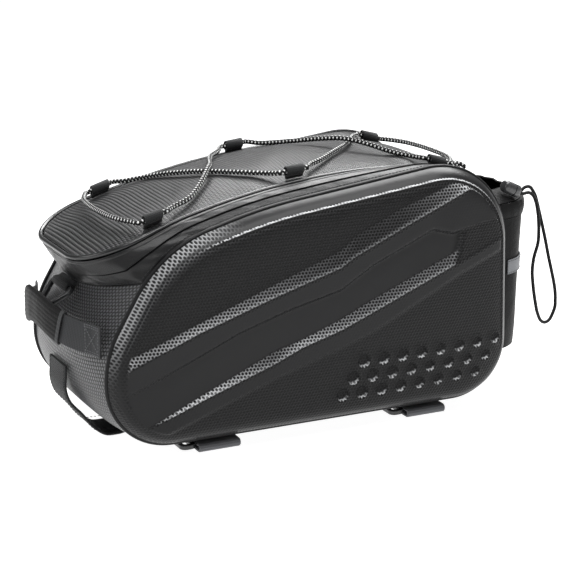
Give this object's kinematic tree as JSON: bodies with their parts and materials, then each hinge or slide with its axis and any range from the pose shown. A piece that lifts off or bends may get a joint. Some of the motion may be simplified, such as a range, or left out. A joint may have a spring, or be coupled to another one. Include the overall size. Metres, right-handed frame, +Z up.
{
  "type": "bicycle rear rack bag",
  "caption": "Hard-shelled trunk bag for a bicycle's rear rack, with moulded side shells, a hinged zip lid laced with elastic cord, a carrying handle and a bottle pocket.",
  "frame": {"origin": "under the middle of the bag's length and width, on the plane that the rack straps stand on", "axes": "+X towards the bicycle's back wheel end, where the bottle pocket is; +Y to the far side; +Z up"},
  "size_m": [0.4706, 0.2098, 0.2254],
  "materials": {
    "moulded_shell": "moulded foam faced with satin laminate, raised dots",
    "coated_fabric": "smooth satin coated cloth",
    "textured_fabric": "coated cloth with a raised hexagon grain",
    "webbing": "matt woven webbing",
    "piping": "satin",
    "black_plastic": "satin moulded",
    "cord": "braided, black with white flecks",
    "reflective_tape": "grey reflective tape"
  },
  "bodies": {
    "root": {"near_shell": "moulded_shell", "far_shell": "moulded_shell", "base_panel": "coated_fabric", "rear_panel": "coated_fabric", "lower_band": "coated_fabric", "upper_band": "coated_fabric", "handle_sleeve": "coated_fabric", "bottle_pocket": "coated_fabric", "pocket_hem": "coated_fabric", "front_panel": "textured_fabric", "lid": "textured_fabric", "pocket_collar": "textured_fabric", "zip_tape": "webbing", "handle_strap": "webbing", "seatpost_strap": "webbing", "front_ring_tab": "webbing", "rear_ring_tab": "webbing", "cord_tab_near_front": "webbing", "cord_tab_near_middle": "webbing", "cord_tab_near_rear": "webbing", "cord_tab_far_front": "webbing", "cord_tab_far_middle": "webbing", "cord_tab_far_rear": "webbing", "near_front_rack_strap": "webbing", "near_rear_rack_strap": "webbing", "far_front_rack_strap": "webbing", "far_rear_rack_strap": "webbing", "near_piping": "piping", "far_piping": "piping", "lid_piping": "piping", "front_d_ring": "black_plastic", "rear_d_ring": "black_plastic", "cord_lock": "black_plastic", "near_front_rack_loop": "black_plastic", "near_rear_rack_loop": "black_plastic", "far_front_rack_loop": "black_plastic", "far_rear_rack_loop": "black_plastic", "bungee": "cord", "drawcord": "cord", "reflective_band": "reflective_tape"}
  },
  "joints": []
}
